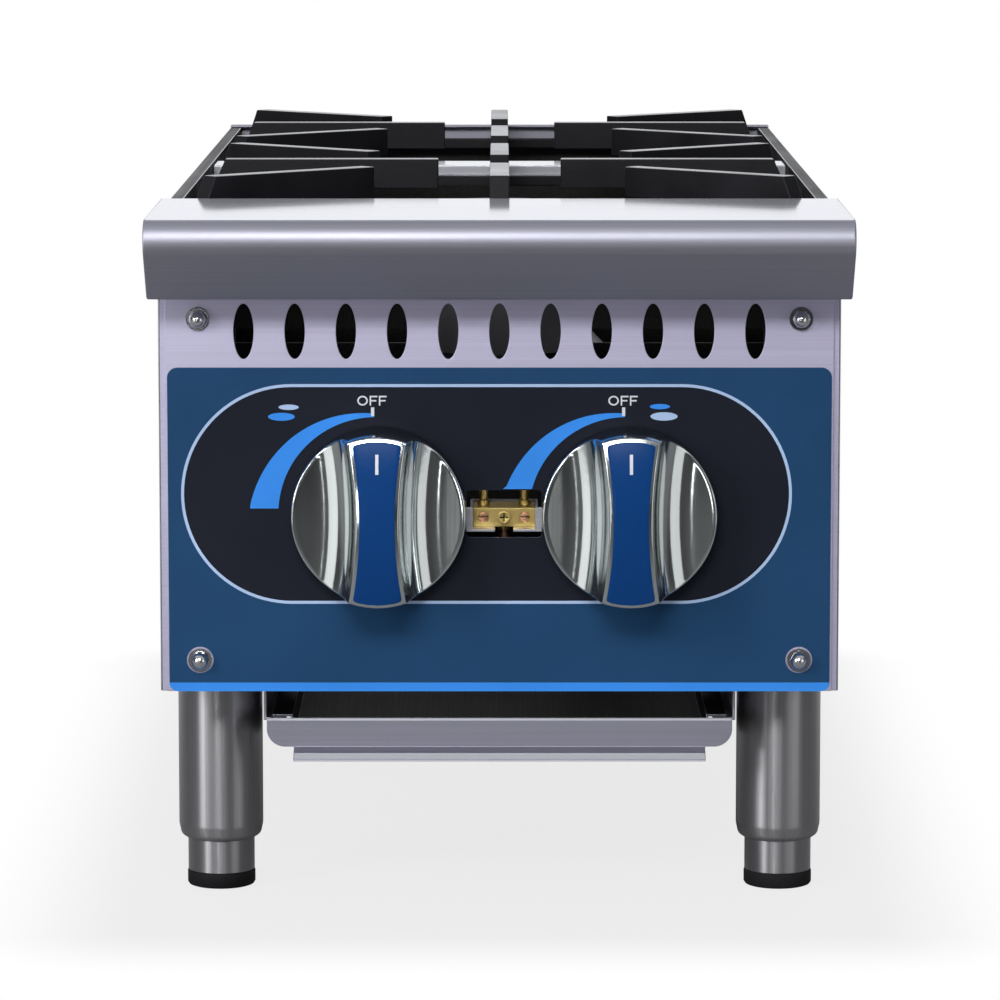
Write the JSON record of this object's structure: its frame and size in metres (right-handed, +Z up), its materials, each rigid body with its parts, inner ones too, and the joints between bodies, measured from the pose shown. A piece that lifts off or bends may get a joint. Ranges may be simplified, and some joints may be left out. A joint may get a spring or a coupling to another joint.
{
  "type": "two-burner gas hot plate",
  "caption": "Narrow stainless counter-top gas hot plate with cast-iron grates over burners set one behind the other, front knobs, a pilot valve and a pull-out crumb tray.",
  "frame": {"origin": "on the counter, under the middle of the length and width", "axes": "+Z up, +X to the right seen from the front, +Y from the front to the back"},
  "size_m": [0.305, 0.71, 0.3185],
  "materials": {
    "cabinet_steel": "satin stainless steel, brushed along its length",
    "zinc_sheet": "zinc-coated sheet",
    "overlay_print": "printed film, semi-gloss",
    "nut_chrome": "bright plated",
    "knob_chrome": "bright plated",
    "inlay_blue": "coloured strip, gloss",
    "valve_brass": "machined brass",
    "screw_copper": "machined copper alloy",
    "gas_pipe": "black steel pipe",
    "burner_iron": "bare casting",
    "grate_iron": "black enamelled casting",
    "leg_steel": "brushed round the tube",
    "foot_rubber": "black rubber"
  },
  "bodies": {
    "chassis": {"left_side_panel": "cabinet_steel", "right_side_panel": "cabinet_steel", "rear_panel": "cabinet_steel", "front_panel": "cabinet_steel", "front_ledge": "cabinet_steel", "grate_divider": "cabinet_steel", "base_front_channel": "zinc_sheet", "base_rear_channel": "zinc_sheet", "tray_rail_left": "zinc_sheet", "tray_rail_right": "zinc_sheet", "pilot_bracket": "zinc_sheet", "burner_rail_front": "zinc_sheet", "burner_rail_rear": "zinc_sheet", "cabinet_screws": "zinc_sheet", "control_overlay": "overlay_print", "panel_nuts": "nut_chrome", "manifold_pipe": "gas_pipe", "inlet_pipe": "gas_pipe", "inlet_elbow": "gas_pipe", "pilot_valve": "valve_brass", "pilot_cover_screw": "valve_brass", "pilot_supply_tube": "screw_copper", "valve_body_left": "valve_brass", "orifice_hood_left": "valve_brass", "valve_body_right": "valve_brass", "orifice_hood_right": "valve_brass", "pilot_tube_front": "valve_brass", "pilot_head_front": "zinc_sheet", "burner_front": "burner_iron", "leg_tube_front_left": "leg_steel", "leg_tube_front_right": "leg_steel", "pilot_tube_rear": "valve_brass", "pilot_head_rear": "zinc_sheet", "burner_rear": "burner_iron", "leg_tube_rear_left": "leg_steel", "leg_tube_rear_right": "leg_steel"},
    "knob_left_body": {"knob_left": "knob_chrome", "knob_inlay_left": "inlay_blue", "valve_stem_left": "valve_brass"},
    "knob_right_body": {"knob_right": "knob_chrome", "knob_inlay_right": "inlay_blue", "valve_stem_right": "valve_brass"},
    "tray_body": {"crumb_tray": "cabinet_steel"},
    "grate_front_body": {"grate_front": "grate_iron"},
    "burner_head_front_body": {"burner_head_front": "burner_iron"},
    "air_shutter_front_body": {"air_shutter_front": "zinc_sheet"},
    "grate_rear_body": {"grate_rear": "grate_iron"},
    "burner_head_rear_body": {"burner_head_rear": "burner_iron"},
    "air_shutter_rear_body": {"air_shutter_rear": "zinc_sheet"},
    "pilot_screw_left_body": {"pilot_screw_left": "screw_copper"},
    "pilot_screw_right_body": {"pilot_screw_right": "screw_copper"},
    "foot_front_left_body": {"leg_foot_front_left": "leg_steel", "foot_pad_front_left": "foot_rubber"},
    "foot_front_right_body": {"leg_foot_front_right": "leg_steel", "foot_pad_front_right": "foot_rubber"},
    "foot_rear_left_body": {"leg_foot_rear_left": "leg_steel", "foot_pad_rear_left": "foot_rubber"},
    "foot_rear_right_body": {"leg_foot_rear_right": "leg_steel", "foot_pad_rear_right": "foot_rubber"}
  },
  "joints": [
    {"name": "knob_left_turn", "type": "hinge", "parent": "chassis", "child": "knob_left_body", "pos_m": [-0.053, -0.32, 0.176], "axis": [0, -1, 0], "range_deg": [0, 90]},
    {"name": "knob_right_turn", "type": "hinge", "parent": "chassis", "child": "knob_right_body", "pos_m": [0.057, -0.32, 0.176], "axis": [0, -1, 0], "range_deg": [0, 90]},
    {"name": "tray_slide", "type": "slide", "parent": "chassis", "child": "tray_body", "axis": [0, -1, 0], "range_m": [0, 0.45]},
    {"name": "grate_front_lift", "type": "slide", "parent": "chassis", "child": "grate_front_body", "axis": [0, 0, 1], "range_m": [0, 0.12]},
    {"name": "burner_head_front_lift", "type": "slide", "parent": "chassis", "child": "burner_head_front_body", "axis": [0, 0, 1], "range_m": [0, 0.02]},
    {"name": "air_shutter_front_turn", "type": "hinge", "parent": "chassis", "child": "air_shutter_front_body", "pos_m": [-0.053, -0.25, 0.176], "axis": [0, 1, 0], "range_deg": [0, 60]},
    {"name": "grate_rear_lift", "type": "slide", "parent": "chassis", "child": "grate_rear_body", "axis": [0, 0, 1], "range_m": [0, 0.12]},
    {"name": "burner_head_rear_lift", "type": "slide", "parent": "chassis", "child": "burner_head_rear_body", "axis": [0, 0, 1], "range_m": [0, 0.02]},
    {"name": "air_shutter_rear_turn", "type": "hinge", "parent": "chassis", "child": "air_shutter_rear_body", "pos_m": [0.057, -0.25, 0.176], "axis": [0, 1, 0], "range_deg": [0, 60]},
    {"name": "pilot_screw_left_turn", "type": "hinge", "parent": "chassis", "child": "pilot_screw_left_body", "pos_m": [-0.0071, -0.29, 0.1732], "axis": [0, -1, 0], "range_deg": [-180, 180]},
    {"name": "pilot_screw_right_turn", "type": "hinge", "parent": "chassis", "child": "pilot_screw_right_body", "pos_m": [0.0111, -0.29, 0.1732], "axis": [0, -1, 0], "range_deg": [-180, 180]},
    {"name": "foot_front_left_screw", "type": "slide", "parent": "chassis", "child": "foot_front_left_body", "axis": [0, 0, -1], "range_m": [0, 0.025]},
    {"name": "foot_front_right_screw", "type": "slide", "parent": "chassis", "child": "foot_front_right_body", "axis": [0, 0, -1], "range_m": [0, 0.025]},
    {"name": "foot_rear_left_screw", "type": "slide", "parent": "chassis", "child": "foot_rear_left_body", "axis": [0, 0, -1], "range_m": [0, 0.025]},
    {"name": "foot_rear_right_screw", "type": "slide", "parent": "chassis", "child": "foot_rear_right_body", "axis": [0, 0, -1], "range_m": [0, 0.025]}
  ]
}
